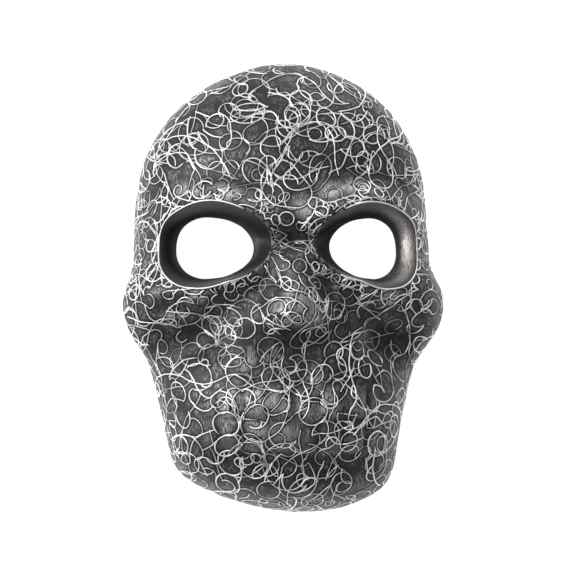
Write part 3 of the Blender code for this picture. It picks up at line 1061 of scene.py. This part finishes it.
ground, tree, shader, where = new_finish("ground_wash_and_painted_shade")
streaks = noise(tree, stretched(tree, where, (1, 0.22, 1)), 1500, 4, 0.7)
clouds = noise(tree, where, 120, 2)
open_middle = ramp(tree, trait(tree, "near"), 0.9, 2.2)
outside_socket = ramp(tree, trait(tree, "socket"), 0.0, 0.1, 1, 0)
dragged = maths(tree, "MULTIPLY", ramp(tree, streaks, 0.46, 0.66), ramp(tree, clouds, 0.35, 0.62))
dragged = maths(tree, "MULTIPLY", dragged, open_middle)
dragged = maths(tree, "MULTIPLY", dragged, outside_socket)
colour = blend_colour(tree, dragged, GUNMETAL, BRUSHED)
# Silver from the dry brush on raised forms and on the spots of wear; on the right socket's outer wall it
# is partly a painted highlight.
rubbed_and_highlight = maths(tree, "MAXIMUM", ramp(tree, trait(tree, "rise"), 2.0, 7.0, 0, 0.40), trait(tree, "wear_and_painted_light"))
rubbed_and_highlight = maths(tree, "MULTIPLY", rubbed_and_highlight, ramp(tree, streaks, 0.32, 0.56))
rubbed_and_highlight = maths(tree, "MULTIPLY", rubbed_and_highlight, ramp(tree, trait(tree, "near"), 0.6, 1.3))
colour = blend_colour(tree, rubbed_and_highlight, colour, RUBBED_SILVER_AND_HIGHLIGHT)
# Painted shade right beside each thread, partly also a dark wash: near black within about a millimetre.
wash_and_shade_by_thread = ramp(tree, trait(tree, "near"), 0.45, 1.25, 0.9, 0)
colour = blend_colour(tree, wash_and_shade_by_thread, colour, NEAR_BLACK)
# Painted shade in the hollows, partly also a dark wash: near black where the face lies below its
# neighbours.
wash_and_hollow_shade = ramp(tree, trait(tree, "rise"), -4.2, -1.0, 0.75, 0)
colour = blend_colour(tree, wash_and_hollow_shade, colour, NEAR_BLACK)
tree.links.new(colour, shader.inputs["Base Color"])
shader.inputs["Metallic"].default_value = 0.45
tree.links.new(ramp(tree, streaks, 0.3, 0.7, 0.52, 0.36), shader.inputs["Roughness"])
tree.links.new(grain(tree, streaks, 0.35, 0.0003), shader.inputs["Normal"])
print(ground.name, "has", len(tree.nodes), "nodes")

# %% [markdown]
# The threads are the brightest, because a cloth with silver on it touches them first. They are
# bright at the crest and dark at the foot, where painted shade and a little wash lie, brighter on
# the forms that stand out than in the hollows, where shade is painted too, and thick ones brighter
# than thin ones. One flat silver would look like wire, so all of these are added up with a little
# noise.

# %% The silver on the threads
BRIGHT_SILVER = (0.88, 0.87, 0.86, 1)
DULL_SILVER = (0.29, 0.288, 0.288, 1)

silver, tree, shader, where = new_finish("threads_rub_and_painted_shade")
patches = noise(tree, where, 160, 3)
# Painted shade on the threads in the hollows; silver from the cloth on the forms that stand out.
rub_and_hollow_shade = ramp(tree, trait(tree, "rise"), -3.4, 3.0, -0.75, 0.65)
wear_and_painted_light = maths(tree, "ADD", ramp(tree, patches, 0.30, 0.62), rub_and_hollow_shade)
wear_and_painted_light = maths(tree, "ADD", wear_and_painted_light, ramp(tree, trait(tree, "tone"), 0.2, 1, -0.35, 0.35))
colour = blend_colour(tree, wear_and_painted_light, DULL_SILVER, BRIGHT_SILVER)
# Painted shade down the bead's sides to its foot, partly also a dark wash.
foot_wash_and_shade = ramp(tree, trait(tree, "crest"), 0.1, 0.75, 1, 0)
colour = blend_colour(tree, foot_wash_and_shade, colour, NEAR_BLACK)
tree.links.new(colour, shader.inputs["Base Color"])
shader.inputs["Metallic"].default_value = 0.5
shader.inputs["Roughness"].default_value = 0.36
tree.links.new(grain(tree, noise(tree, where, 1400, 2), 0.3, 0.0002), shader.inputs["Normal"])
print(silver.name, "has", len(tree.nodes), "nodes")

# %% [markdown]
# Nobody paints the inside with care. It keeps the resin's dull dark grey, a little cloudy and a
# little rough, which two noises are enough for.

# %% The plain inside
DARK_RESIN = (0.020, 0.020, 0.021, 1)
PALE_RESIN = (0.045, 0.045, 0.047, 1)

inside, tree, shader, where = new_finish("plain_inside")
colour = blend_colour(tree, noise(tree, where, 60, 4), DARK_RESIN, PALE_RESIN)
tree.links.new(colour, shader.inputs["Base Color"])
shader.inputs["Roughness"].default_value = 0.55
tree.links.new(grain(tree, noise(tree, where, 500, 3), 0.4, 0.0004), shader.inputs["Normal"])
shell.data.materials.append(ground)
shell.data.materials.append(inside)
for piece in pieces[1:]:
    piece.data.materials.append(silver)
print("finishes:", [material.name for material in (ground, silver, inside)])

# %% [markdown]
# The light is a studio's. Two soft lamps stand on the left, one high beyond the brow and one lower
# beside the cheek, and a third looks along the face from beyond the crown. A pale room fills the
# rest. The floor is white and glows, as a lit table does, so that it stays pale even where it is
# seen through the eyes.

# %% Floor and lights
def add_lamp(name, place, side, watts):
    """A square lamp that faces the mask."""
    data = bpy.data.lights.new(name, "AREA")
    data.size = side
    data.energy = watts
    lamp = bpy.data.objects.new(name, data)
    lamp.location = place
    lamp.rotation_euler = (look_at - lamp.location).to_track_quat("-Z", "Y").to_euler()
    bpy.context.scene.collection.objects.link(lamp)
    return lamp


add_lamp("key", Vector((-0.62, 0.62, 1.00)), 0.45, 8.6)
add_lamp("side", Vector((-1.05, -0.05, 0.75)), 0.45, 7.0)
add_lamp("far side", Vector((0.45, 1.30, 0.45)), 0.60, 5.0)
world = bpy.data.worlds.new("room")
world.use_nodes = True
world.node_tree.nodes["Background"].inputs["Color"].default_value = (1, 1, 1, 1)
world.node_tree.nodes["Background"].inputs["Strength"].default_value = 0.27
bpy.context.scene.world = world
bpy.context.scene.view_settings.view_transform = "Standard"

FLOOR_SIDE, FLOOR_DROP = 14.0, 0.0002
corners = np.array([[-1, -1], [1, -1], [1, 1], [-1, 1]]) * FLOOR_SIDE / 2
floor_points = np.column_stack([corners, np.full(4, -FLOOR_DROP)])
floor = add_piece("floor", floor_points, np.arange(4).reshape(1, 4), {})
white, tree, shader, where = new_finish("white_table")
shader.inputs["Base Color"].default_value = (0.85, 0.85, 0.85, 1)
shader.inputs["Roughness"].default_value = 0.9
shader.inputs["Emission Color"].default_value = (1, 1, 1, 1)
shader.inputs["Emission Strength"].default_value = 0.95
floor.data.materials.append(white)

# %% [markdown]
# Last, each piece is tied to the imported model. The mask is one casting, so everything rides on
# one body, and the fine shell takes the place of the faceted one.

# %% Ride on the imported body, and finish
for piece in pieces:
    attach(piece, "root")
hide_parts("skull_shell")
